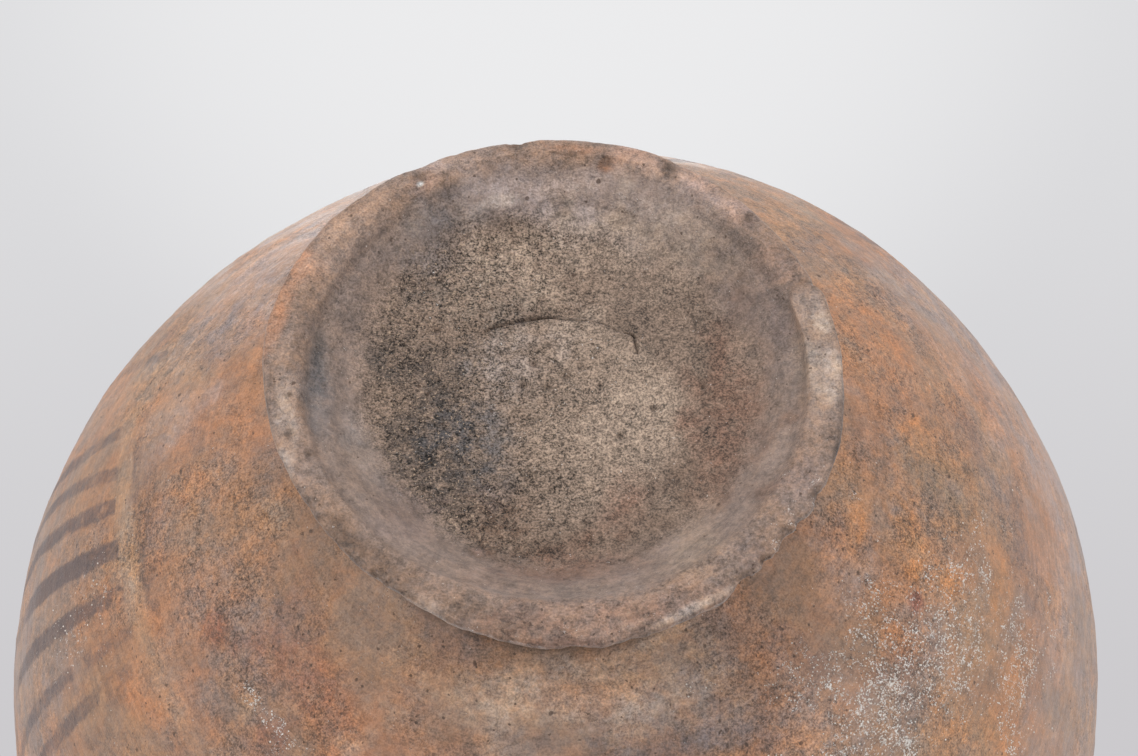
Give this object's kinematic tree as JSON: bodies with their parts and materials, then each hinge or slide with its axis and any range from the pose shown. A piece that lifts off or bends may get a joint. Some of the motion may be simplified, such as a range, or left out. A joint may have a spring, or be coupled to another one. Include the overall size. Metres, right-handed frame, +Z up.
{
  "type": "pottery jar",
  "caption": "Hand-built globular earthenware jar on a low flaring ring foot, with a short neck, an everted rim and a painted band of bars.",
  "frame": {"origin": "centre of the ring that the jar stands on, on the standing plane", "axes": "+Z up through the middle of the mouth; +X and +Y level"},
  "size_m": [0.2252, 0.2248, 0.2495],
  "materials": {
    "base_clay": "rough fired clay, grey-beige with grit and soot, stands in for earthenware",
    "foot_clay": "wiped fired clay, grey-brown, stands in for earthenware",
    "body_clay": "smoothed fired clay, orange-buff and brown, stands in for earthenware",
    "painted_clay": "smoothed fired clay, orange-buff with worn dark brown paint, stands in for earthenware"
  },
  "bodies": {
    "root": {"base_disc": "base_clay", "lower_bowl": "body_clay", "foot_ring": "foot_clay", "foot_lip": "foot_clay", "lower_strap": "painted_clay", "lower_belly": "painted_clay", "upper_belly": "painted_clay", "upper_strap": "painted_clay", "shoulder": "painted_clay", "neck": "body_clay", "rim_coil": "body_clay"}
  },
  "joints": []
}
